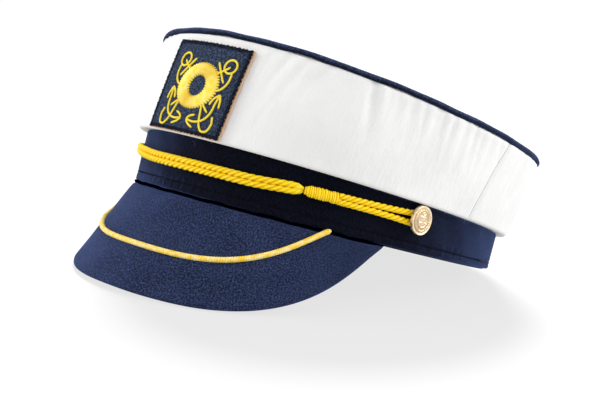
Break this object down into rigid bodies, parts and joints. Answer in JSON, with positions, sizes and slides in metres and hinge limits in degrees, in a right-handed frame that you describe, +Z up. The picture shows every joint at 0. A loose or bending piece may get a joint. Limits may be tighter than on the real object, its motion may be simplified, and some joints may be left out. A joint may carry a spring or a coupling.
{
  "type": "captain hat",
  "caption": "Nautical peaked cap: flared white crown with navy piping, navy band and curved visor, doubled gold cord on brass buttons, embroidered badge.",
  "frame": {"origin": "middle of the resting cap's bounding box, on the surface that it lies on", "axes": "+Z up from that surface, the cap's front and visor towards -Y, the wearer's left towards +X"},
  "size_m": [0.2076, 0.2502, 0.1208],
  "materials": {
    "white_cloth": "plain woven white cotton, matt",
    "navy_piping": "navy fabric piping, soft sheen",
    "navy_band": "dark navy twill",
    "navy_visor": "navy twill over a stiff board",
    "gold_trim": "satin wound gold cord",
    "gold_cord": "twisted golden yellow cord",
    "brass": "pale worn brass",
    "tan_backing": "tan felt",
    "navy_felt": "navy embroidered twill",
    "gold_thread": "satin stitched yellow thread"
  },
  "bodies": {
    "root": {"crown_front_panel": "white_cloth", "crown_back_panel": "white_cloth", "crown_top": "white_cloth", "crown_piping": "navy_piping", "band": "navy_band", "visor": "navy_visor", "visor_trim": "gold_trim", "cord_upper": "gold_cord", "cord_lower": "gold_cord", "cord_loop_left": "gold_cord", "cord_loop_right": "gold_cord", "cord_knot_left": "gold_cord", "cord_knot_right": "gold_cord", "button_left": "brass", "button_right": "brass", "badge_backing": "tan_backing", "badge_patch": "navy_felt", "badge_ring": "gold_thread", "anchor_head_left": "gold_thread", "anchor_head_right": "gold_thread", "anchor_foot_left": "gold_thread", "anchor_foot_right": "gold_thread"}
  },
  "joints": []
}
